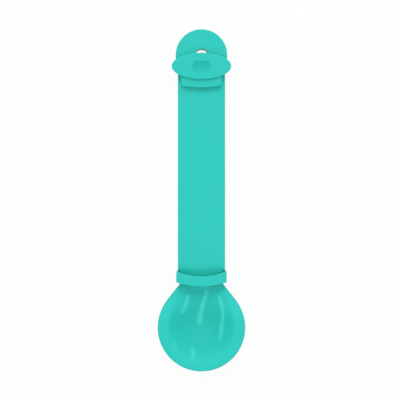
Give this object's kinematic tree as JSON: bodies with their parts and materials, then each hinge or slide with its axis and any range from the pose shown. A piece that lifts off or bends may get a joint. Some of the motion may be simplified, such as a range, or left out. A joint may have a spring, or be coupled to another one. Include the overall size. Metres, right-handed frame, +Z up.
{
  "type": "pet treat spoon",
  "caption": "Round-bowled treat spoon on a flat bar handle, with a thumb slider that squeezes a treat pouch under a bridging collar into the bowl, and a hanging head.",
  "frame": {"origin": "on the table under the middle of the spoon's length, with the spoon lying on its back", "axes": "+Y along the spoon from the bowl to the hanging head, +Z up out of the bowl's mouth, +X to the right seen from the front"},
  "size_m": [0.0434, 0.1704, 0.0124],
  "materials": {
    "satin_plastic": "satin moulded polypropylene, turquoise",
    "soft_silicone": "matt food-grade silicone, turquoise"
  },
  "bodies": {
    "spoon": {"handle": "satin_plastic", "collar": "satin_plastic", "spoon_bowl": "soft_silicone"},
    "slider": {"thumb_plate": "satin_plastic", "squeeze_plate": "satin_plastic", "squeeze_pad": "soft_silicone", "rear_strap": "satin_plastic"}
  },
  "joints": [
    {"name": "slider_travel", "type": "slide", "parent": "spoon", "child": "slider", "axis": [0, -1, 0], "range_m": [0, 0.0933]}
  ]
}
